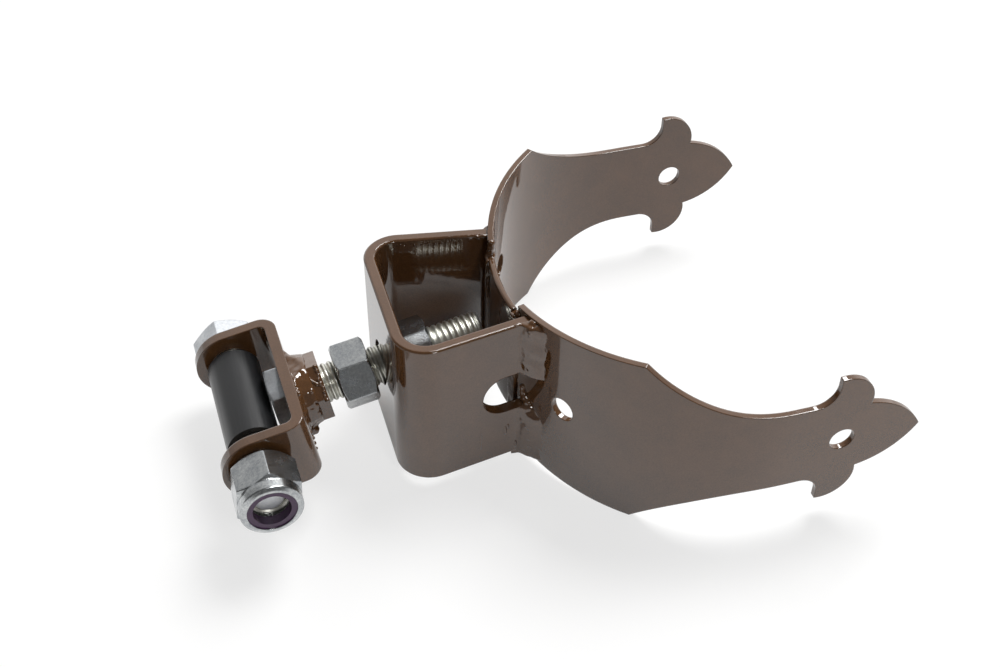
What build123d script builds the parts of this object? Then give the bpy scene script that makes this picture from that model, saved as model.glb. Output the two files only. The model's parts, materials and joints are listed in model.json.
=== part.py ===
from build123d import *
import os
from math import acos, asin, cos, degrees, pi, radians, sin, sqrt, tan

# Adjustable gate hinge for a round post, in millimetres.
# The pieces are worked out from the middle of the bolt hole on the outer face of the box, with +X along the
# bolt towards the post and +Z up, and are placed with the origin at the middle of the post at the end.
# The two straps are mirror images across the XZ plane.

# Plate stock
box_plate = 3.6             # steel of the box and the clevis
strap_plate = 2.0           # steel of the saddle and the straps
edge_round = 0.5            # edge broken off the rims of the box and the saddle

# Box that holds the adjuster
box_width = 61.0            # outside, along the wall that the bolt goes through
box_height = 55.0
box_bend = 11.0             # outside radius of the two folds
wall_taper = 9.5            # lean of each side wall towards the middle, in degrees
bolt_hole_clearance = 2.3   # on the bolt's diameter
slot_start = 26.4           # from the bolt wall's outer face to the round end of the slot
slot_height = 15.0

# Post that the straps clasp
post_radius = 68.5
saddle_reach = 38.0         # from the bolt wall's outer face to the saddle's convex face
saddle_drop = 3.75          # from the box's upper rim down to the saddle's
saddle_foot = 8.75          # and from its lower rim up to the saddle's
seam_gap = 4.0              # between an end of the saddle and its strap, along the curve

# Strap, as distances along its outer face from the middle of the saddle and half heights
root_start = 16.5
root_margin = 0.6           # the root stands this far above the box's rim
flare_at = 64.6
flare_half = 32.2
neck_half = 15.5            # at the end of the curve, where the arm turns straight
neck_bow = 0.30             # how hollow the neck's edge is between flare and neck
root_hole_at = 38.6
near_hole_rise = 1.2        # the near strap's root hole is this far above the middle
strap_hole = 8.2            # bore of the four fixing holes

# Fleur-de-lis end, as distances along the straight arm
hook_at = 12.8
hook_radius = 7.0
hook_half = 25.6
notch_at = 24.4
notch_half = 13.6
lobe_bulge = 4.5            # height of the lobe's arc over the chord from hook to notch
tip_at = 43.3
spear_bulge = 2.7           # height of the spear's arc over the chord from notch to tip
end_hole_at = 17.4

# Half-inch fasteners
bolt_diameter = 12.7
across_flats = 19.05
nut_height = 10.9
weld_nut_height = 8.6
pivot_head_height = 7.9
adjuster_head_height = 4.8  # thin, to clear the bush
lock_nut_height = 15.9
lock_hex_height = 11.9      # of the lock nut's hexagon, below its collar
collar_straight = 1.4       # of the collar, before it turns in to its rim
collar_round = 0.6
thread_clearance = 0.05     # between a nut's bore and the bolt, radial
weld_nut_turn = 13.0        # angle of a corner about each fastener's axis, in degrees
outer_nut_turn = 34.0
inner_nut_turn = 17.5
adjuster_head_turn = 46.0
lock_nut_turn = 15.0
pivot_head_turn = 36.5
nut_chamfer_angle = 30.0
lock_seat_angle = 45.0      # of the deeper chamfer on the lock nut's seat

# Adjuster
bolt_droop = 9.3            # the slack bolt hangs in its clearance hole by this, in degrees
bolt_lean = 2.3             # and swings to one side by this, in degrees
bolt_sag = 0.6              # its axis lies this far below the middle of the hole
clevis_turn = -2.0          # turn of the clevis about the bolt, in degrees
bolt_reach = 33.8           # from the bolt wall's outer face to the bolt's end
outer_nut_gap = 3.4         # from the bolt wall's outer face to the outer nut
nut_wall_gap = 0.3          # least room between the inner nut's corner and the wall

# Clevis
clevis_width = 53.0         # outside, across the ears
clevis_bar = 23.0           # width of the flat bar
clevis_bend = 6.0           # outside radius of the two bends
web_at = -27.6              # web's outer face, along the bolt from the bolt wall
pivot_at = -44.9
hole_clearance = 0.2        # on the diameter of the clevis's holes

# Pivot
lock_nut_gap = 1.7          # from the near ear to the lock nut, which isn't run up
bush_wall = 2.0
bush_bore_clearance = 0.08  # radial, running
bush_near_gap = 5.9         # from the near ear to the bush's end
bush_far_gap = 2.9          # and from the far ear
nylon_outer = 15.0
nylon_inner = 11.4
nylon_thick = 3.2
nylon_set = 0.4             # of the ring below the collar's rim
collar_rim = 0.7            # flat of the rim round the ring
pivot_end_recess = 3.9      # from the lock nut's end back to the bolt's end

# Weld beads
wall_weld_leg = 3.5         # of the near beads, on the wall
strap_weld_leg = 6.4        # and on the strap
far_weld_leg = 1.8          # of the far bead, on both
wall_weld_crown = 0.4       # of a wall weld over a flat fillet
weld_end_setback = 0.4      # of a wall weld from the box's rim and from the slot
seam_weld_setback = 0.8     # of a seam weld from the saddle's rim
seam_weld_crown = 0.8
nut_weld_leg = 4.6
nut_weld_rise = 5.8         # of the bead up the weld nut's sides
nut_weld_hollow = 1.2       # of that bead under a flat fillet

saddle_height = box_height - saddle_drop - saddle_foot
saddle_lift = Pos(0, 0, (saddle_foot - saddle_drop) / 2)
root_half = box_height / 2 + root_margin
outer_radius = post_radius + strap_plate
post_x = saddle_reach + outer_radius
curve_length = outer_radius * pi / 2
os.makedirs("parts", exist_ok=True)


def prism(plan, height):
    """Upright solid from a plan in XY, half above and half below Z = 0."""
    return extrude(plan, amount=height / 2, both=True)


def side_prism(profile, width):
    """Solid from a profile in XZ, half on each side of Y = 0."""
    return extrude(Plane.XZ * profile, amount=width / 2, both=True)


def arc_over(start, end, bulge):
    """Arc from start to end that rises by bulge to the left of the chord."""
    chord_x, chord_y = end[0] - start[0], end[1] - start[1]
    length = sqrt(chord_x**2 + chord_y**2)
    middle = ((start[0] + end[0]) / 2, (start[1] + end[1]) / 2)
    top = (middle[0] - bulge * chord_y / length, middle[1] + bulge * chord_x / length)
    return ThreePointArc(start, top, end)


# Box: one strip folded to a U, its side walls cut to the curve of the straps, the near one slotted at its end
def box_plan():
    far = post_x
    lean = far * tan(radians(wall_taper))
    plan = make_face(Polyline((0, -box_width / 2), (0, box_width / 2), (far, box_width / 2 - lean),
                              (far, lean - box_width / 2), close=True))
    plan = fillet(plan.vertices().group_by(Axis.X)[0], box_bend)
    return plan


def box_bracket():
    plan = box_plan()
    hollow = offset(plan, amount=-box_plate, kind=Kind.INTERSECTION)
    body = prism(plan - hollow, box_height)
    body -= Pos(post_x, 0, 0) * Cylinder(outer_radius, 2 * box_height)
    body -= Rot(0, 90, 0) * Cylinder((bolt_diameter + bolt_hole_clearance) / 2, 4 * box_plate)
    slot_round = slot_height / 2
    slot = Pos(slot_start + slot_round, 0) * Circle(slot_round)
    slot += Pos(slot_start + slot_round + post_x / 2, 0) * Rectangle(post_x, slot_height)
    body -= Pos(0, -box_width / 2, 0) * side_prism(slot, box_width)
    rims = [e for e in body.edges() if abs(abs(e.center().Z) - box_height / 2) < 1e-3
            and e.center().X < saddle_reach]
    return chamfer(rims, edge_round)


# Saddle: a short curved plate between the side walls
def curved_plate(start, end, height, inner=post_radius, outer=outer_radius):
    """Upright plate round the post's middle, between two distances along the straps' outer face."""
    first, last = degrees(start / outer_radius), degrees(end / outer_radius)
    ring = CenterArc((0, 0), outer, 180 - last, last - first)
    bore = CenterArc((0, 0), inner, 180 - last, last - first)
    plan = make_face([ring, Line(ring @ 1, bore @ 1), bore, Line(bore @ 0, ring @ 0)])
    return Pos(post_x, 0, 0) * prism(plan, height)


saddle_half = root_start - seam_gap


def saddle_plate():
    plate = curved_plate(-saddle_half, saddle_half, saddle_height)
    rims = plate.edges().filter_by(GeomType.CIRCLE)
    return saddle_lift * chamfer(rims, edge_round)


# Strap: the flat outline is rolled to the post's radius up to the neck, then runs straight to its tip
def rolled_wedge():
    """Solid with radial sides that cuts the flat outline, rolled round the post, from the curved plate."""
    middle = (root_start + curve_length) / 2 / outer_radius
    half_sweep = (curve_length - root_start) / 2 / outer_radius
    facing = Plane((post_x, 0, 0), x_dir=(sin(middle), cos(middle), 0), z_dir=(-cos(middle), sin(middle), 0))
    bow_at = (flare_at + curve_length) / 2
    bow_half = neck_half + (flare_half - neck_half) * (0.5 - neck_bow)
    from_flare, to_neck = (0.75, -0.66), (1, 0)
    sections = []
    for radius in (post_radius * cos(half_sweep) - strap_plate, outer_radius + strap_plate):
        along = (root_start, flare_at, bow_at, curve_length)
        root, flare, bow, neck = (radius * tan(s / outer_radius - middle) for s in along)
        points = ((flare, flare_half), (bow, bow_half), (neck, neck_half))
        upper = Spline(*points, tangents=(from_flare, to_neck))
        lower = mirror(upper, about=Plane.XZ)
        plan = make_face([
            Line((root, root_half), (flare, flare_half)), upper,
            Line((neck, neck_half), (neck, -neck_half)), lower,
            Line((flare, -flare_half), (root, -root_half)), Line((root, -root_half), (root, root_half))])
        sections.append(facing.offset(radius) * plan)
    return loft(sections, ruled=True)


def straight_arm():
    """Flat outline of the arm from the neck to the fleur-de-lis tip, with X from the end of the curve."""
    bend_at = hook_at - hook_radius
    corner = (hook_at, neck_half + hook_radius)
    hook, notch, tip = (hook_at, hook_half), (notch_at, notch_half), (tip_at, 0)
    half = sqrt(0.5) * hook_radius
    turn = (bend_at + half, neck_half + hook_radius - half)
    upper = [Line((0, neck_half), (bend_at, neck_half)),
             ThreePointArc((bend_at, neck_half), turn, corner),
             Line(corner, hook),
             arc_over(hook, notch, lobe_bulge),
             arc_over(notch, tip, spear_bulge)]
    lower = [mirror(edge, about=Plane.XZ) for edge in upper]
    return make_face(upper + lower + [Line((0, neck_half), (0, -neck_half))])


def strap(hole_rise):
    """The strap on the far side of the post, with its root hole this far above the middle."""
    rolled = curved_plate(root_start, curve_length, 3 * flare_half) & rolled_wedge()
    arm = extrude(Plane.XZ * straight_arm(), amount=-strap_plate)
    arm = Pos(post_x, post_radius, 0) * arm
    plate = rolled + arm
    drill = Cylinder(strap_hole / 2, 4 * box_plate)
    plate -= Pos(post_x + end_hole_at, outer_radius, 0) * Rot(90, 0, 0) * drill
    turn = root_hole_at / outer_radius
    plate -= (Pos(post_x - outer_radius * cos(turn), outer_radius * sin(turn), hole_rise)
              * Rot(0, 0, -degrees(turn)) * Rot(0, 90, 0) * drill)
    return plate


# Fasteners
def hexagon(height, turn):
    """Hexagon from Z = 0 to height, with a corner at this angle from X."""
    return extrude(RegularPolygon(across_flats / 2, 6, major_radius=False, rotation=turn), amount=height)


def chamfered(height, turn, both, seat_angle=nut_chamfer_angle):
    """Hexagon with its corners turned off at the top, and at the bottom too for a nut."""
    flat = across_flats / 2
    corner = across_flats / sqrt(3)
    drop = (corner - flat) * tan(radians(nut_chamfer_angle))
    seat_drop = (corner - flat) * tan(radians(seat_angle))
    base = [(0, 0), (flat, 0), (corner, seat_drop)] if both else [(0, 0), (corner, 0)]
    profile = make_face(Polyline(*base, (corner, height - drop), (flat, height), (0, height), close=True))
    return hexagon(height, turn) & revolve(Plane.XZ * profile, Axis.Z)


def hex_nut(height, turn, chamfer=True):
    nut = chamfered(height, turn, True) if chamfer else hexagon(height, turn)
    return nut - Cylinder(bolt_diameter / 2 + thread_clearance, 4 * height)


def hex_bolt(head_height, length, turn):
    """Bolt with its head below Z = 0 and its shank up to length."""
    head = Rot(180, 0, 0) * chamfered(head_height, -turn, False)
    shank = extrude(Circle(bolt_diameter / 2), amount=length)
    shank = chamfer(shank.edges().group_by(Axis.Z)[-1], bolt_diameter / 12)
    return head + shank


along_bolt = Rot(0, 90, 0)          # turns a fastener's Z to X
hang = Pos(0, 0, -bolt_sag) * Rot(0, 0, bolt_lean) * Rot(0, -bolt_droop, 0) * Rot(clevis_turn, 0, 0)
nut_corner = across_flats / sqrt(3)
bolt_tilt = acos(cos(radians(bolt_droop)) * cos(radians(bolt_lean)))
inner_nut_at = (box_plate + nut_wall_gap + nut_corner * sin(bolt_tilt)) / cos(bolt_tilt)
head_seat = web_at - box_plate


def adjuster_bolt():
    bolt = hex_bolt(adjuster_head_height, bolt_reach - head_seat, adjuster_head_turn)
    return Pos(head_seat, 0, 0) * along_bolt * bolt


# Clevis: flat bar bent to a U, with the ears rounded about the pivot
def clevis():
    ear = clevis_bar / 2
    back = pivot_at - clevis_bar
    plan = Pos((web_at + back) / 2, 0) * Rectangle(web_at - back, clevis_width)
    plan = fillet(plan.vertices().group_by(Axis.X)[-1], clevis_bend)
    hollow = offset(plan, amount=-box_plate, kind=Kind.INTERSECTION)
    bar = prism(plan - hollow, clevis_bar)
    side = Pos(pivot_at, 0) * Circle(ear)
    side += Pos((pivot_at + web_at) / 2, 0) * Rectangle(web_at - pivot_at, clevis_bar)
    bar &= side_prism(side, 2 * clevis_width)
    hole = (bolt_diameter + hole_clearance) / 2
    bar -= Pos(pivot_at, 0, 0) * Rot(90, 0, 0) * Cylinder(hole, 2 * clevis_width)
    bar -= Pos(web_at, 0, 0) * along_bolt * Cylinder(hole, 4 * box_plate)
    return bar


def clevis_weld():
    """Bead between the web and the weld nut, kept on the bar's width."""
    inner = across_flats / 2
    foot = nut_corner + nut_weld_leg
    rise = nut_weld_rise
    hollow = ((nut_corner + foot) / 2 - nut_weld_hollow, rise / 2 - nut_weld_hollow)
    sides = [(inner, 0), (foot, 0), hollow, (nut_corner, rise), (inner, rise)]
    profile = make_face(Polyline(*sides, close=True))
    bead = Pos(web_at, 0, 0) * along_bolt * revolve(Plane.XZ * profile, Axis.Z)
    bead &= Pos(web_at, 0, 0) * Box(4 * foot, 4 * foot, clevis_bar - 0.6)
    return bead - Pos(web_at, 0, 0) * along_bolt * hexagon(weld_nut_height, weld_nut_turn)


# Pivot: bolt across the ears, lock nut with its nylon ring, and the bush that turns on the bolt
ear_face = clevis_width / 2
nut_seat = -ear_face - lock_nut_gap
nut_end = nut_seat - lock_nut_height
pivot_end = nut_end + pivot_end_recess
pivot_frame = Pos(pivot_at, 0, 0)
towards_viewer = Rot(90, 0, 0)      # turns a fastener's Z to -Y


def pivot_bolt():
    bolt = hex_bolt(pivot_head_height, ear_face - pivot_end, pivot_head_turn)
    return pivot_frame * Pos(0, ear_face, 0) * towards_viewer * bolt


def lock_nut():
    flat = across_flats / 2
    rim = nylon_outer / 2 + collar_rim
    hexagon_part = chamfered(lock_hex_height, lock_nut_turn, True, lock_seat_angle)
    straight = lock_hex_height + collar_straight
    shoulder = ((flat + rim) / 2 + collar_round, (straight + lock_nut_height) / 2 + collar_round)
    sides = [(0, lock_hex_height), (flat, lock_hex_height), (flat, straight), shoulder]
    profile = make_face(Polyline(*sides, (rim, lock_nut_height), (0, lock_nut_height), close=True))
    nut = hexagon_part + revolve(Plane.XZ * profile, Axis.Z)
    nut -= Cylinder(bolt_diameter / 2 + thread_clearance, 4 * lock_nut_height)
    pocket = extrude(Circle(nylon_outer / 2), amount=lock_nut_height)
    nut -= Pos(0, 0, lock_nut_height - nylon_set - nylon_thick) * pocket
    return pivot_frame * Pos(0, nut_seat, 0) * towards_viewer * nut


def nylon_ring():
    ring = extrude(Circle(nylon_outer / 2) - Circle(nylon_inner / 2), amount=nylon_thick)
    start = lock_nut_height - nylon_set - nylon_thick
    return pivot_frame * Pos(0, nut_seat - start, 0) * towards_viewer * ring


def pivot_bush():
    bore = bolt_diameter / 2 + bush_bore_clearance
    length = clevis_width - 2 * box_plate - bush_near_gap - bush_far_gap
    tube = Cylinder(bore + bush_wall, length) - Cylinder(bore, 2 * length)
    return pivot_frame * Pos(0, (bush_near_gap - bush_far_gap) / 2, 0) * towards_viewer * tube


# Weld beads of the bracket
def wall_weld(low, high, wall_leg, strap_leg, box):
    """Bead in the corner between the near side wall and the near strap, from one height to another."""
    lean = radians(wall_taper)
    corner_y = box_width / 2 - saddle_reach * tan(lean)
    corner_x = post_x - sqrt(outer_radius**2 - corner_y**2)
    corner_y = box_width / 2 - corner_x * tan(lean)
    on_wall = (corner_x - wall_leg * cos(lean), -corner_y - wall_leg * sin(lean))
    turn = asin(corner_y / outer_radius) + strap_leg / outer_radius
    on_strap = (post_x - outer_radius * cos(turn), -outer_radius * sin(turn))
    inside = (corner_x + strap_plate / 2, -corner_y + box_plate / 2)
    crown = arc_over(on_wall, on_strap, -wall_weld_crown)
    plan = make_face([Line(on_wall, inside), Line(inside, on_strap), crown])
    bead = Pos(0, 0, low) * extrude(plan, amount=high - low)
    return bead - box - near_strap


def seam_weld():
    """Fill of the seam between the saddle and the far strap, short of the rims, crowned inside the box."""
    height = saddle_height - 2 * seam_weld_setback
    return saddle_lift * curved_plate(saddle_half, root_start, height, outer=outer_radius + seam_weld_crown)


box = box_bracket()
mirrored_box = mirror(box, about=Plane.XZ)
far_strap = strap(0)
near_strap = mirror(strap(near_hole_rise), about=Plane.XZ)
slot_half = slot_height / 2
bead_low, bead_high = slot_half + weld_end_setback, box_height / 2 - weld_end_setback
near_upper_weld = wall_weld(bead_low, bead_high, wall_weld_leg, strap_weld_leg, box)
near_lower_weld = wall_weld(-bead_high, -bead_low, wall_weld_leg, strap_weld_leg, box)
far_wall_weld = wall_weld(-bead_high, bead_high, far_weld_leg, far_weld_leg, mirrored_box)
far_wall_weld = mirror(far_wall_weld, about=Plane.XZ)
far_seam_weld = seam_weld() - box

weld_nut = along_bolt * hex_nut(weld_nut_height, weld_nut_turn, chamfer=False)
outer_nut = along_bolt * hex_nut(nut_height, outer_nut_turn)
inner_nut = along_bolt * hex_nut(nut_height, inner_nut_turn)
nodes = {
    "box_bracket": box,
    "saddle_plate": saddle_plate(),
    "near_strap": near_strap,
    "far_strap": far_strap,
    "near_upper_weld": near_upper_weld,
    "near_lower_weld": near_lower_weld,
    "far_wall_weld": far_wall_weld,
    "near_seam_weld": mirror(far_seam_weld, about=Plane.XZ),
    "far_seam_weld": far_seam_weld,
    "clevis": hang * clevis(),
    "weld_nut": hang * Pos(web_at, 0, 0) * weld_nut,
    "clevis_weld": hang * clevis_weld(),
    "adjuster_bolt": hang * adjuster_bolt(),
    "outer_jam_nut": hang * Pos(-outer_nut_gap - nut_height, 0, 0) * outer_nut,
    "inner_jam_nut": hang * Pos(inner_nut_at, 0, 0) * inner_nut,
    "pivot_bolt": hang * pivot_bolt(),
    "lock_nut": hang * lock_nut(),
    "nylon_ring": hang * nylon_ring(),
    "pivot_bush": hang * pivot_bush(),
}
for name, shape in nodes.items():
    export_step(Pos(-post_x, 0, 0) * shape, f"parts/{name}.step")
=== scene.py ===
import json
import math
import random

import bmesh
import bpy
from mathutils import Matrix, Vector, noise


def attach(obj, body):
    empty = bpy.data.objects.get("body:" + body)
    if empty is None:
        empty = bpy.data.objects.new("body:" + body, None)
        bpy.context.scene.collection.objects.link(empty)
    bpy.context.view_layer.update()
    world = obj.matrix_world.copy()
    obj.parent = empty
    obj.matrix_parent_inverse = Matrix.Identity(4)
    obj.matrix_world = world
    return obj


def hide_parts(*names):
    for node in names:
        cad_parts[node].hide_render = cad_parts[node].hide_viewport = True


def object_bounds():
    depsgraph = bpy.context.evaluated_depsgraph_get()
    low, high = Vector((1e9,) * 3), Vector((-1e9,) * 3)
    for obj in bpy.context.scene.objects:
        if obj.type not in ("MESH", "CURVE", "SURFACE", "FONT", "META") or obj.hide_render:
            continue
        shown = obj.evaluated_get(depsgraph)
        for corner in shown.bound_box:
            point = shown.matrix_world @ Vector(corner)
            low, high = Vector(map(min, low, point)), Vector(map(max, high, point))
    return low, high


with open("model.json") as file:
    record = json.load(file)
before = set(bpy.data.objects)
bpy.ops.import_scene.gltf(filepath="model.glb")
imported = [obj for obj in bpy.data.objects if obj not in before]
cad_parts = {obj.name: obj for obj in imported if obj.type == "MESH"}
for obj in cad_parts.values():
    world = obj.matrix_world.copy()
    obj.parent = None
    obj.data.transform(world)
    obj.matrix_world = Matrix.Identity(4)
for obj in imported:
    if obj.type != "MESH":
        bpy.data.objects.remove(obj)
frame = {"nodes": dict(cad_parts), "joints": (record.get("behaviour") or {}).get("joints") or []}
cad_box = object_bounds()

# Box, saddle and straps: mild steel plate, the box folded from one strip and the straps cut to a fleur-de-lis
# and rolled to the post. They are welded together and finished as one piece in a glossy brown enamel.
MM = 0.001


def linear(colour):
    """Linear colour for a shader from an sRGB hex value."""
    channels = [int(colour[i:i + 2], 16) / 255 for i in (1, 3, 5)]
    return [c / 12.92 if c <= 0.04045 else ((c + 0.055) / 1.055) ** 2.4 for c in channels] + [1]


def per(size):
    """Texture scale that gives features of this size in millimetres."""
    return 1000 / size


def add(tree, kind, inputs=None, **settings):
    """New shader node. An input is a value, or another node's output to link from."""
    node = tree.nodes.new("ShaderNode" + kind)
    for key, value in settings.items():
        setattr(node, key, value)
    for key, value in (inputs or {}).items():
        if isinstance(value, bpy.types.NodeSocket):
            tree.links.new(value, node.inputs[key])
        else:
            node.inputs[key].default_value = value
    return node


def new_material(name):
    """Empty material and its tree to fill."""
    material = bpy.data.materials.new(name)
    material.use_nodes = True
    material.node_tree.nodes.clear()
    return material, material.node_tree


# Stoved enamel levels as it dries: a dark brown body under a clear gloss that mirrors the table, with a faint
# orange peel about 2 mm across, and cut edges where the coat is thin, gritty and catches the light.
def enamel(name, peel_height, lump_height):
    material, tree = new_material(name)
    place = add(tree, "TexCoord").outputs["Object"]
    drift = add(tree, "TexNoise", {"Vector": place, "Scale": per(14), "Detail": 4.0, "Roughness": 0.6})
    grain = add(tree, "TexNoise", {"Vector": place, "Scale": per(0.45), "Detail": 2.0})
    shade = add(tree, "Math", {0: drift.outputs["Fac"], 1: grain.outputs["Fac"]}, operation="ADD")
    shade = add(tree, "MapRange", {"Value": shade.outputs[0], "From Min": 0.7, "From Max": 1.3})
    colour = add(tree, "Mix", {"Factor": shade.outputs[0], "A": linear("#49301b"), "B": linear("#5b3e26")},
                 data_type="RGBA")
    rounded = add(tree, "Bevel", {"Radius": 0.55 * MM}, samples=8)
    true_normal = add(tree, "NewGeometry").outputs["Normal"]
    along = add(tree, "VectorMath", {0: rounded.outputs[0], 1: true_normal}, operation="DOT_PRODUCT")
    at_edge = add(tree, "MapRange", {"Value": along.outputs["Value"], "From Min": 0.99, "From Max": 0.8})
    grit = add(tree, "TexNoise", {"Vector": place, "Scale": per(1.6), "Detail": 1.0})
    edge_grit = add(tree, "Math", {0: grit.outputs["Fac"], 1: at_edge.outputs[0]}, operation="MULTIPLY")
    lumps = add(tree, "TexNoise", {"Vector": place, "Scale": per(4.5), "Detail": 1.0})
    peel = add(tree, "TexNoise", {"Vector": place, "Scale": per(2.0), "Detail": 1.0})
    gritty = add(tree, "Bump", {"Height": edge_grit.outputs[0], "Distance": 0.10 * MM,
                                "Normal": rounded.outputs[0]})
    wavy = add(tree, "Bump", {"Height": lumps.outputs["Fac"], "Distance": lump_height * MM,
                              "Normal": gritty.outputs[0]})
    rippled = add(tree, "Bump", {"Height": peel.outputs["Fac"], "Distance": peel_height * MM,
                                 "Normal": wavy.outputs[0]})
    body = add(tree, "BsdfPrincipled", {
        "Base Color": colour.outputs["Result"], "Roughness": 0.5, "Specular IOR Level": 0.0,
        "Normal": rippled.outputs[0], "Coat Weight": 1.0, "Coat Roughness": 0.05, "Coat IOR": 1.74,
        "Coat Normal": rippled.outputs[0]})
    add(tree, "OutputMaterial", {"Surface": body.outputs[0]})
    return material


def finish_node(name, material):
    """Gives a CAD node its finish."""
    slots = frame["nodes"][name].data.materials
    slots.clear()
    slots.append(material)


plate_enamel = enamel("plate_enamel", peel_height=0.006, lump_height=0.012)
for plate in ("box_bracket", "saddle_plate", "near_strap", "far_strap"):
    finish_node(plate, plate_enamel)

# Weld beads of the bracket: run by hand in the corners between the box and the straps and in the seams beside
# the saddle, then painted over. Each stands in for its plain solid, with uneven toes and lumps where it ends.
weld_enamel = enamel("weld_enamel", peel_height=0.06, lump_height=0.12)
# Sizes of the part in millimetres, with the straps' outer radius about the post first.
strap_face = 70.5
strap_plate = 2.0
bolt_wall = -108.5
wall_half = 30.5
wall_plate = 3.6
wall_lean = math.radians(9.5)


def on_strap(along, height, depth=0):
    """Point on a strap, from the distance along its outer face, the height and the depth below that face."""
    turn = along / strap_face
    radius = strap_face - depth
    return Vector((-radius * math.cos(turn), radius * math.sin(turn), height)) * MM


def on_wall(across, height, side, depth=0):
    """Point on a side wall of the box, from its X, height, side and depth below the outer face."""
    reach = wall_half - (across - bolt_wall) * math.tan(wall_lean) - depth / math.cos(wall_lean)
    return Vector((across, side * reach, height)) * MM


def put_lumps(form, lumps):
    """Adds balls to a mesh, each a (point, radius in millimetres, stretch along Z)."""
    unevenness = 0.16
    dent_share = 0.8
    for point, radius, stretch in lumps:
        ball = bmesh.ops.create_icosphere(form, subdivisions=3, radius=radius * MM)["verts"]
        for vertex in ball:
            dent = noise.noise(vertex.co / (dent_share * radius * MM) + point / MM)
            vertex.co *= 1 + unevenness * dent
            vertex.co.z *= stretch
            vertex.co += point


def melt(form, voxel, ripple):
    """Overlapping closed forms run together as molten metal does, with ripples in the skin."""
    smoothings = 3
    regained = 0.08
    broad = 2.8 * MM
    fine = 1.2 * MM
    mesh = bpy.data.meshes.new("bead")
    form.to_mesh(mesh)
    form.free()
    holder = bpy.data.objects.new("bead", mesh)
    bpy.context.collection.objects.link(holder)
    union = holder.modifiers.new("union", "REMESH")
    union.mode = "VOXEL"
    union.voxel_size = voxel * MM
    melted = bpy.data.meshes.new_from_object(holder.evaluated_get(bpy.context.evaluated_depsgraph_get()))
    bpy.data.objects.remove(holder)
    skin = bmesh.new()
    skin.from_mesh(melted)
    for _ in range(smoothings):
        bmesh.ops.smooth_vert(skin, verts=skin.verts, factor=0.5, use_axis_x=True, use_axis_y=True,
                              use_axis_z=True)
    skin.normal_update()
    for vertex in skin.verts:
        wave = noise.noise(vertex.co / broad) + 0.4 * noise.noise(vertex.co / fine)
        vertex.co += vertex.normal * (regained + ripple * wave) * MM
    skin.to_mesh(melted)
    skin.free()
    return melted


def new_piece(name, mesh, body, material):
    """Object from a mesh that rides on a body and takes the given material."""
    piece = bpy.data.objects.new(name, mesh)
    bpy.context.collection.objects.link(piece)
    mesh.materials.clear()
    mesh.materials.append(material)
    mesh.shade_smooth()
    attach(piece, body)
    return piece


def corner_bead(wall_toe, strap_toe, low, high, taper):
    """Bead in the near corner of box and strap, sunk into both plates, with its toes wandering.

    Its strap toe draws in by the taper over the last 3 mm of its upper end."""
    ring_gap = 0.7
    wander_run = 4.5
    taper_run = 3
    outward = Vector((-0.67, -0.74, 0)) * MM
    form = bmesh.new()
    rings = []
    levels = math.ceil((high - low) / ring_gap)
    for level in range(levels + 1):
        height = low + (high - low) * level / levels
        wander = [noise.noise(Vector((height / wander_run, 9.7 * k, 0.3))) for k in range(3)]
        across = wall_toe + 0.5 * wander[0]
        along = strap_toe + 0.8 * wander[1] + taper * max(0, 1 - (high - height) / taper_run)
        first = on_wall(across, height, -1)
        last = on_strap(along, height)
        crown = [first.lerp(last, t) + outward * 4 * t * (1 - t) * (0.35 + 0.7 * wander[2])
                 for t in (0.2, 0.4, 0.6, 0.8)]
        # Each ring dives under the wall toe and the strap toe, and closes inside the plates.
        ring = [on_wall(across - 2.4, height, -1, 0.7), on_wall(across - 1.2, height, -1, 0.15), first,
                *crown, last, on_strap(along - 1.2, height, 0.15), on_strap(along - 2.4, height, 0.6),
                on_strap(-23.5, height, 1.2), on_wall(across, height, -1, 1.4)]
        rings.append([form.verts.new(point) for point in ring])
    for lower, upper in zip(rings, rings[1:]):
        for i in range(len(lower)):
            form.faces.new((lower[i - 1], lower[i], upper[i], upper[i - 1]))
    form.faces.new(rings[0][::-1])
    form.faces.new(rings[-1])
    bmesh.ops.recalc_face_normals(form, faces=form.faces)
    return form


# Points nearer than this, in metres, count as one.
tiny = 1e-6


def cad_form(node):
    """Copy of a CAD piece as one closed mesh, without the normals it was loaded with."""
    source = frame["nodes"][node].data
    plain = bpy.data.meshes.new("plain")
    corners = [vertex.co for vertex in source.vertices]
    plain.from_pydata(corners, [], [face.vertices for face in source.polygons])
    form = bmesh.new()
    form.from_mesh(plain)
    bpy.data.meshes.remove(plain)
    bmesh.ops.remove_doubles(form, verts=form.verts, dist=tiny)
    return form


upper_bead = corner_bead(-70.0, -30.4, low=7.6, high=27.6, taper=0)
put_lumps(upper_bead, [(Vector((-66.5, -26.2, 24.9)) * MM, 1.3, 1.5), (on_strap(-27.5, 27.3), 1.2, 0.8),
                       (Vector((-67.4, -26.0, 26.6)) * MM, 1.2, 1.0), (on_strap(-25, 27.6), 1.5, 0.7)])
lower_bead = corner_bead(-69.8, -30.3, low=-29.0, high=-7.6, taper=5.5)
put_lumps(lower_bead, [(on_strap(-20.1, -3.2), 0.9, 1.3), (on_strap(-20.6, -4.8), 1.3, 1.1),
                       (on_strap(-21.7, -6.0), 1.5, 1.0), (on_strap(-23.2, -7.2), 1.5, 1.0),
                       (on_strap(-24.8, -8.4), 1.4, 1.0), (on_strap(-21.0, -8.0), 1.6, 1.1)])
near_seam = cad_form("near_seam_weld")
put_lumps(near_seam, [(on_strap(-15.4, 22.8, 1.0), 1.6, 0.8), (on_strap(-16.6, 24.4, 0.4), 1.5, 1.2)])
far_seam = cad_form("far_seam_weld")
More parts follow.
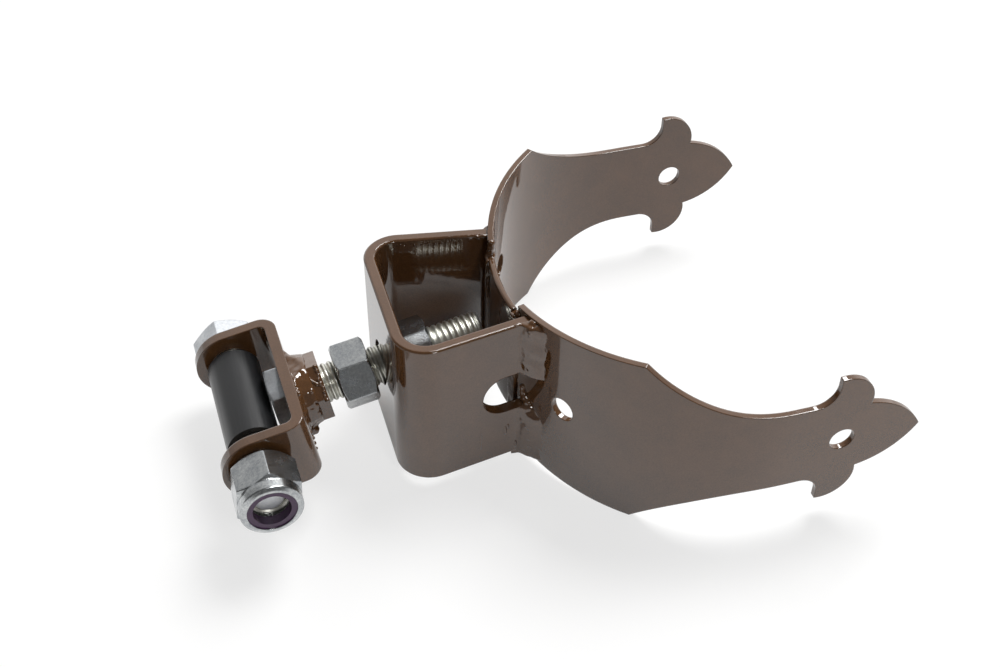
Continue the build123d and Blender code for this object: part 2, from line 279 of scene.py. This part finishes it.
# Blobs of the far seam: a row down the strap's edge, then a row along the top of the wall.
chance = random.Random(5)
for step in range(9):
    spot = on_strap(15.9 + chance.uniform(-0.4, 0.4), 27.4 - 0.8 * step, chance.uniform(0.4, 1.5))
    put_lumps(far_seam, [(spot, chance.uniform(0.8, 1.15), 1.0)])
for step in range(6):
    spot = on_wall(-71.0 + 0.75 * step, 26.9 + chance.uniform(-0.3, 0.2), 1, wall_plate)
    put_lumps(far_seam, [(spot, chance.uniform(0.45, 0.7), 1.0)])
beads = {"near_upper_weld": upper_bead, "near_lower_weld": lower_bead, "near_seam_weld": near_seam,
         "far_seam_weld": far_seam, "far_wall_weld": cad_form("far_wall_weld")}
for node, form in beads.items():
    bead_mesh = melt(form, voxel=0.33, ripple=0.20)
    bead = new_piece(node + "_bead", bead_mesh, "bracket", weld_enamel)
    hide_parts(node)

# Spatter and runs: drops of weld metal that stuck to the plates near the beads, and enamel that gathered into
# drops and short runs before it set. They lie under the same coat.
def drops(name, places, body):
    """Piece of loose drops from the places that put_lumps takes."""
    form = bmesh.new()
    put_lumps(form, places)
    mesh = bpy.data.meshes.new(name)
    form.to_mesh(mesh)
    form.free()
    return new_piece(name, mesh, body, weld_enamel)


specks = []
for step in range(24):
    across = -99 + step + chance.uniform(-0.4, 0.4)
    height = 25.5 + chance.uniform(-0.6, 0.6)
    specks.append((on_wall(across, height, 1, wall_plate), chance.uniform(0.2, 0.45), 1.0))
drops("wall_specks", specks, "bracket")
drops("enamel_runs", [
    (on_wall(-82.9, -17.0, -1, 0.15), 0.4, 12.0), (on_wall(-74.5, -16.2, -1, 0.2), 0.6, 3.6),
    (on_wall(-73.6, -14.6, -1, 0.2), 0.5, 2.2), (on_wall(-70.8, -24.0, -1, 0.2), 0.6, 2.6),
    (on_strap(36.6, -2.6, strap_plate), 0.7, 1.0)], "bracket")

# Clevis and weld nut: flat bar bent to a U with its ears rounded, and a plain hex nut welded on the web so
# that the bolt screws through it. Both are enamelled with the bracket, thick round the weld.
joints = {joint["name"]: joint for joint in frame["joints"]}
bolt_axis = Vector(joints["bolt_travel"]["axis"]).normalized()
hole_middle = Vector(joints["nut_turn"]["pos_m"])
pivot_axis = Vector(joints["bush_turn"]["axis"]).normalized()
pivot_middle = Vector(joints["bush_turn"]["pos_m"])
clevis_up = bolt_axis.cross(pivot_axis)


def on_clevis(along, across, height):
    """Point from the bolt hole's middle, along the bolt, along the pivot and up from both, in millimetres."""
    return hole_middle + (bolt_axis * along + pivot_axis * across + clevis_up * height) * MM


finish_node("clevis", plate_enamel)
finish_node("weld_nut", weld_enamel)
nut_bead = cad_form("clevis_weld")
put_lumps(nut_bead, [(on_clevis(-26.0, -9.5, -8.5), 1.6, 1.0), (on_clevis(-25.6, -5.0, -9.8), 1.8, 1.0),
                     (on_clevis(-26.2, 1.0, 10.4), 1.2, 0.7), (on_clevis(-22.8, -8.6, 6.6), 0.8, 1.0)])
# The bead sits this much deeper on the web than its plain solid.
bead_sunk = 0.7 * MM
nut_bead_mesh = melt(nut_bead, voxel=0.4, ripple=0.3)
nut_bead_mesh.transform(Matrix.Translation(-bolt_axis * bead_sunk))
nut_bead_piece = new_piece("clevis_weld_bead", nut_bead_mesh, "clevis_unit", weld_enamel)
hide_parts("clevis_weld")
# Drops of enamel in rows: on the nut's end, over its upper corner and along the clevis's rim.
nut_drops = []
for step in range(9):
    share = step / 8
    end_row = on_clevis(-19.9 + chance.uniform(-0.4, 0.2), -2.5 - 8.0 * share, 10.3 - 7.5 * share)
    top_row = on_clevis(-24.6 + 3.4 * share, -3.2 - 3.2 * share, 9.8 - 3.1 * share)
    nut_drops.append((end_row, chance.uniform(0.5, 0.8), 1.0))
    nut_drops.append((top_row, chance.uniform(0.5, 0.8), 1.0))
for step in range(10):
    rim = on_clevis(-27.5 + chance.uniform(-0.2, 0.4), -2.0 - 1.1 * step, 10.6 + chance.uniform(-0.4, 0.2))
    nut_drops.append((rim, chance.uniform(0.6, 0.9), 1.0))
drops("nut_drops", nut_drops, "clevis_unit")
drops("clevis_drops", [
    (on_clevis(-27.7, -16.6, -2.0), 0.6, 1.1), (on_clevis(-27.7, -17.6, -3.6), 0.75, 1.0),
    (on_clevis(-27.7, -18.0, -5.6), 0.6, 1.2), (on_clevis(-27.7, -18.8, -7.2), 0.5, 1.0)], "clevis_unit")

# Adjuster bolt: half-inch hex bolt with a thin head, 13 threads to the inch along its whole shank, bright
# zinc plated. It hangs slack in the box, and its head lies inside the clevis.
# Bright zinc is a soft mirror with a fine spangle, drawn here about 0.8 mm across so that it shows, and it is
# cloudy where the passivate is thick.
def zinc(name, light, dark, smooth, rough):
    material, tree = new_material(name)
    place = add(tree, "TexCoord").outputs["Object"]
    mottle = add(tree, "TexNoise", {"Vector": place, "Scale": per(0.8), "Detail": 4.0, "Roughness": 0.7})
    cloud = add(tree, "TexNoise", {"Vector": place, "Scale": per(5), "Detail": 5.0, "Roughness": 0.65})
    tone = add(tree, "Math", {0: mottle.outputs["Fac"], 1: cloud.outputs["Fac"]}, operation="ADD")
    tone = add(tree, "MapRange", {"Value": tone.outputs[0], "From Min": 0.7, "From Max": 1.3})
    colour = add(tree, "Mix", {"Factor": tone.outputs[0], "A": linear(light), "B": linear(dark)},
                 data_type="RGBA")
    gloss = add(tree, "MapRange", {"Value": cloud.outputs["Fac"], "From Min": 0.3, "From Max": 0.7,
                                   "To Min": smooth, "To Max": rough})
    rounded = add(tree, "Bevel", {"Radius": 0.6 * MM}, samples=8)
    frost = add(tree, "Bump", {"Height": mottle.outputs["Fac"], "Distance": 0.006 * MM,
                               "Normal": rounded.outputs[0]})
    body = add(tree, "BsdfPrincipled", {
        "Base Color": colour.outputs["Result"], "Metallic": 1.0, "Roughness": gloss.outputs[0],
        "Normal": frost.outputs[0]})
    add(tree, "OutputMaterial", {"Surface": body.outputs[0]})
    return material


# The bolts' heads are cloudier than the nuts and the threads warmer. The sheared ends are matt and painted
# near white, a painted brightening for ends that sit in shade.
dull_zinc = zinc("dull_zinc", "#dcdee0", "#b4b8bd", smooth=0.28, rough=0.42)
nut_zinc = zinc("bright_zinc", "#c8cac9", "#8f9398", smooth=0.18, rough=0.32)
thread_zinc = zinc("thread_zinc", "#e4e3da", "#bebdb3", smooth=0.30, rough=0.42)
end_zinc_painted_bright = zinc("end_zinc_painted_bright", "#ffffff", "#e6eaee", smooth=0.55, rough=0.75)
bolt_radius = 6.35 * MM
thread_pitch = 25.4 / 13 * MM
thread_depth = 0.34 * thread_pitch
sharp_from = math.radians(25)


def thread_mesh(length, end_radius):
    """Right-hand thread along Z from 0 to length, closed, its last turns bevelled to the end's radius."""
    sides = 72
    # Each point is a share of the pitch and a share of the thread's height.
    profile = ((0.05, 0.0), (0.2, 0.5), (0.36, 0.92), (0.5, 1.0), (0.64, 0.92), (0.8, 0.5), (0.95, 0.0))
    turns = math.ceil(length / thread_pitch) + 2
    form = bmesh.new()
    strips = []
    for share, rise in profile:
        strip = []
        for step in range(turns * sides + 1):
            angle = 2 * math.pi * step / sides
            height = (share - 1 + step / sides) * thread_pitch
            radius = min(bolt_radius - thread_depth * (1 - rise), end_radius + max(0, length - height))
            strip.append(form.verts.new((radius * math.cos(angle), radius * math.sin(angle), height)))
        strips.append(strip)
    for lower, upper in zip(strips, strips[1:]):
        for i in range(turns * sides):
            form.faces.new((lower[i], lower[i + 1], upper[i + 1], upper[i]))
    first, last = strips[0], strips[-1]
    for i in range((turns - 1) * sides):
        form.faces.new((last[i], last[i + 1], first[i + 1 + sides], first[i + sides]))
    for height, sign in ((0, -1), (length, 1)):
        parts = form.verts[:] + form.edges[:] + form.faces[:]
        bmesh.ops.bisect_plane(form, geom=parts, plane_co=(0, 0, height), plane_no=(0, 0, sign),
                               clear_outer=True)
        rim = [edge for edge in form.edges if edge.is_boundary
               and all(abs(vertex.co.z - height) < tiny for vertex in edge.verts)]
        bmesh.ops.edgeloop_fill(form, edges=rim)
    bmesh.ops.recalc_face_normals(form, faces=form.faces)
    mesh = bpy.data.meshes.new("thread")
    form.to_mesh(mesh)
    form.free()
    return mesh


def threaded_bolt(node, axis, start, end_radius, cut):
    """Copy of a CAD bolt that is threaded from a point on its axis to its end, and shorter by the cut."""
    form = cad_form(node)
    reach = max((vertex.co - start).dot(axis) for vertex in form.verts) - cut
    parts = form.verts[:] + form.edges[:] + form.faces[:]
    bmesh.ops.bisect_plane(form, geom=parts, plane_co=start, plane_no=axis, clear_outer=True)
    rim = [edge for edge in form.edges if edge.is_boundary]
    if rim:
        bmesh.ops.edgeloop_fill(form, edges=rim)
    head_faces = len(form.faces)
    mesh = thread_mesh(reach, end_radius)
    mesh.transform(Matrix.Translation(start) @ axis.to_track_quat("Z", "Y").to_matrix().to_4x4())
    form.from_mesh(mesh)
    form.to_mesh(mesh)
    form.free()
    bolt = new_piece(node + "_threaded", mesh, "clevis_unit", dull_zinc)
    mesh.set_sharp_from_angle(angle=sharp_from)
    mesh.materials.append(thread_zinc)
    # The ends take the zinc that is painted near white, painted light for their shade.
    mesh.materials.append(end_zinc_painted_bright)
    thread_slot = 1
    end_slot = 2
    for face in mesh.polygons[head_faces:]:
        at_end = (face.center - start).dot(axis) > reach - tiny
        face.material_index = end_slot if at_end else thread_slot
    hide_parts(node)


shank_start = -30.6
threaded_bolt("adjuster_bolt", bolt_axis, start=on_clevis(shank_start, 0, 0), end_radius=5.2 * MM, cut=0)

# Jam nuts: half-inch full nuts, cold formed with both faces chamfered, zinc plated. One is on each side of
# the box wall, and here both are backed off.
for nut in ("outer_jam_nut", "inner_jam_nut"):
    finish_node(nut, nut_zinc)

# Pivot: half-inch hex bolt through both ears, with a nylon-insert lock nut on its end. The bolt's end stops
# short of the dark purple ring that is set into the nut's collar, and the nut's own thread shows there.
bolt_sunk = 1.2 * MM
thread_start = pivot_middle - pivot_axis * 24 * MM
threaded_bolt("pivot_bolt", -pivot_axis, start=thread_start, end_radius=4.4 * MM, cut=bolt_sunk)
finish_node("lock_nut", nut_zinc)


def inner_thread(turns, root, crest):
    """Ridge of a nut's thread along Z, closed, that runs out at both ends."""
    sides = 60
    fade_steps = 8
    last = round(turns * sides)
    form = bmesh.new()
    rings = []
    for step in range(last + 1):
        angle = 2 * math.pi * step / sides
        fade = min(1, step / fade_steps, (last - step) / fade_steps)
        top = root - (root - crest) * (0.1 + 0.9 * fade)
        ring = []
        for radius, share in ((root, 0.0), (top, 0.4), (top, 0.6), (root, 1.0)):
            height = (share + step / sides) * thread_pitch
            ring.append(form.verts.new((radius * math.cos(angle), radius * math.sin(angle), height)))
        rings.append(ring)
    for lower, upper in zip(rings, rings[1:]):
        for i in range(4):
            form.faces.new((lower[i - 1], lower[i], upper[i], upper[i - 1]))
    form.faces.new(rings[0][::-1])
    form.faces.new(rings[-1])
    bmesh.ops.recalc_face_normals(form, faces=form.faces)
    mesh = bpy.data.meshes.new("inner_thread")
    form.to_mesh(mesh)
    form.free()
    return mesh


nut_points = [vertex.co for vertex in frame["nodes"]["lock_nut"].data.vertices]
nut_rim = max((point - pivot_middle).dot(-pivot_axis) for point in nut_points)
thread_below_rim = 8.7 * MM
nut_thread = inner_thread(turns=1.6, root=6.3 * MM, crest=5.3 * MM)
nut_thread.transform(Matrix.Translation(pivot_middle - pivot_axis * (nut_rim - thread_below_rim))
                     @ (-pivot_axis).to_track_quat("Z", "Y").to_matrix().to_4x4())
new_piece("lock_nut_thread", nut_thread, "clevis_unit", thread_zinc)
nut_thread.set_sharp_from_angle(angle=sharp_from)


# Moulded nylon, dyed through: smooth, with a soft waxy gloss and a faint cloud in its colour.
def moulded_nylon():
    material, tree = new_material("moulded_nylon")
    place = add(tree, "TexCoord").outputs["Object"]
    cloud = add(tree, "TexNoise", {"Vector": place, "Scale": per(1.5), "Detail": 3.0})
    colour = add(tree, "Mix", {"Factor": cloud.outputs["Fac"], "A": linear("#2a1230"),
                               "B": linear("#4a254f")}, data_type="RGBA")
    soft = add(tree, "Bump", {"Height": cloud.outputs["Fac"], "Distance": 0.03 * MM})
    body = add(tree, "BsdfPrincipled", {
        "Base Color": colour.outputs["Result"], "Roughness": 0.32, "IOR": 1.53, "Normal": soft.outputs[0]})
    add(tree, "OutputMaterial", {"Surface": body.outputs[0]})
    return material


finish_node("nylon_ring", moulded_nylon())


# Bush: an extruded black sleeve that turns on the pivot bolt between the ears.
# Extruded plastic is satin, with faint lines along its length from the die, drawn about 1 mm apart.
def extruded_sleeve():
    material, tree = new_material("extruded_sleeve")
    place = add(tree, "TexCoord").outputs["Object"]
    turned = add(tree, "Mapping", {"Vector": place, "Scale": (per(0.9), per(40), per(0.9))})
    lines = add(tree, "TexNoise", {"Vector": turned.outputs[0], "Scale": 1.0, "Detail": 4.0,
                                   "Roughness": 0.6})
    colour = add(tree, "Mix", {"Factor": lines.outputs["Fac"], "A": linear("#0f0f10"),
                               "B": linear("#1c1d1f")}, data_type="RGBA")
    gloss = add(tree, "MapRange", {"Value": lines.outputs["Fac"], "From Min": 0.3, "From Max": 0.7,
                                   "To Min": 0.28, "To Max": 0.40})
    drawn = add(tree, "Bump", {"Height": lines.outputs["Fac"], "Distance": 0.012 * MM})
    body = add(tree, "BsdfPrincipled", {
        "Base Color": colour.outputs["Result"], "Roughness": gloss.outputs[0], "IOR": 1.5,
        "Normal": drawn.outputs[0]})
    add(tree, "OutputMaterial", {"Surface": body.outputs[0]})
    return material


finish_node("pivot_bush", extruded_sleeve())

# Studio: a white table that the hinge rests on, a soft lamp high on the right, a small one by the camera, and
# a room with a white sweep at the back that is dim in front.
# The table is white card with a painted white glow over it, seen by the camera and in the gloss. Round the
# hinge the glow thins, so a faint shadow shows, deepest inside the box; far off it grows, a painted
# brightening.
table_half = 3.0
table_gap = 0.2 * MM
table_mesh = bpy.data.meshes.new("table")
table_form = bmesh.new()
bmesh.ops.create_grid(table_form, x_segments=1, y_segments=1, size=table_half)
table_form.to_mesh(table_mesh)
table_form.free()
table = bpy.data.objects.new("table", table_mesh)
bpy.context.collection.objects.link(table)
table.location.z = cad_box[0][2] - table_gap
white_card, card = new_material("white_card")
lit = add(card, "BsdfDiffuse", {"Color": linear("#f3f3f2")})
bright = add(card, "Emission", {"Color": linear("#ffffff"), "Strength": 1.0})
path = add(card, "LightPath").outputs
direct = add(card, "Math", {0: path["Is Camera Ray"], 1: path["Is Transmission Ray"]},
             operation="MAXIMUM")
# Painted light: in the gloss the white glow shows where ambient occlusion finds the table open, and gives way
# to the card's lit shade round the hinge.
open_air = add(card, "AmbientOcclusion", {"Distance": 0.08}, samples=8)
clear = add(card, "MapRange", {"Value": open_air.outputs["AO"], "From Min": 0.2, "From Max": 0.6})
glossy_glow_share = add(card, "Math", {0: path["Is Glossy Ray"], 1: clear.outputs[0]}, operation="MULTIPLY")
# Painted light: to the camera the glow rises from 70% near the hinge to all of it far off, where the lamps
# fall off.
spread = add(card, "VectorMath", {0: add(card, "TexCoord").outputs["Object"]}, operation="LENGTH")
far_glow_share = add(card, "MapRange", {"Value": spread.outputs["Value"], "From Min": 0.3, "From Max": 0.7,
                              "To Min": 0.7, "To Max": 1.0})
white = add(card, "Math", {0: direct.outputs[0], 1: far_glow_share.outputs[0]}, operation="MULTIPLY")
share = add(card, "Math", {0: glossy_glow_share.outputs[0], 1: white.outputs[0]}, operation="MAXIMUM")
face = add(card, "MixShader", {0: share.outputs[0], 1: lit.outputs[0], 2: bright.outputs[0]})
add(card, "OutputMaterial", {"Surface": face.outputs[0]})
table_mesh.materials.append(white_card)

room = bpy.data.worlds.new("room")
bpy.context.scene.world = room
room.use_nodes = True
sky = room.node_tree
sky.nodes.clear()
way = add(sky, "TexCoord").outputs["Generated"]
aim = add(sky, "SeparateXYZ", {0: way})
back = add(sky, "VectorMath", {0: way, 1: (0.3, 0.95, 0.0)}, operation="DOT_PRODUCT")
sweep = add(sky, "MapRange", {"Value": back.outputs["Value"], "From Min": 0.2, "From Max": 0.9,
                              "To Min": 0.15, "To Max": 1.5}, interpolation_type="SMOOTHSTEP")
ceiling = add(sky, "MapRange", {"Value": aim.outputs["Z"], "From Min": 0.3, "From Max": 0.65,
                                "To Min": 1.0, "To Max": 0.7}, interpolation_type="SMOOTHSTEP")
level = add(sky, "Math", {0: sweep.outputs[0], 1: ceiling.outputs[0]}, operation="MULTIPLY")
backdrop = add(sky, "Math", {0: level.outputs[0], 1: add(sky, "LightPath").outputs["Is Camera Ray"]},
               operation="MAXIMUM")
glow = add(sky, "Background", {"Color": linear("#ffffff"), "Strength": backdrop.outputs[0]})
add(sky, "OutputWorld", {"Surface": glow.outputs[0]})


def softbox(name, place, size, watts):
    """Square lamp that faces the hinge."""
    hinge_middle = Vector((-0.05, 0, 0))
    lamp = bpy.data.lights.new(name, "AREA")
    lamp.size = size
    lamp.energy = watts
    holder = bpy.data.objects.new(name, lamp)
    bpy.context.collection.objects.link(holder)
    holder.location = place
    holder.rotation_euler = (hinge_middle - Vector(place)).to_track_quat("-Z", "Y").to_euler()


softbox("key_lamp", place=(0.35, 0.30, 0.90), size=0.5, watts=13)
softbox("front_lamp", place=(0.05, -0.75, 0.60), size=0.16, watts=1.7)

# Camera: stands in front of the hinge and to its left, looking down on it as in the photograph.
camera = bpy.data.cameras.new("camera")
camera.sensor_width = 36
camera.lens = 47.77
viewpoint = bpy.data.objects.new("camera", camera)
bpy.context.collection.objects.link(viewpoint)
stand = Vector((-162.1, -301.0, 292.7)) * MM
look_down = math.radians(42.65)
swing = math.radians(-17.18)
roll = math.radians(0.91)
viewpoint.matrix_world = (Matrix.Translation(stand)
                          @ Matrix.Rotation(swing, 4, "Z")
                          @ Matrix.Rotation(math.pi / 2 - look_down, 4, "X")
                          @ Matrix.Rotation(roll, 4, "Z"))
bpy.context.scene.camera = viewpoint
bpy.context.scene.view_settings.view_transform = "Standard"
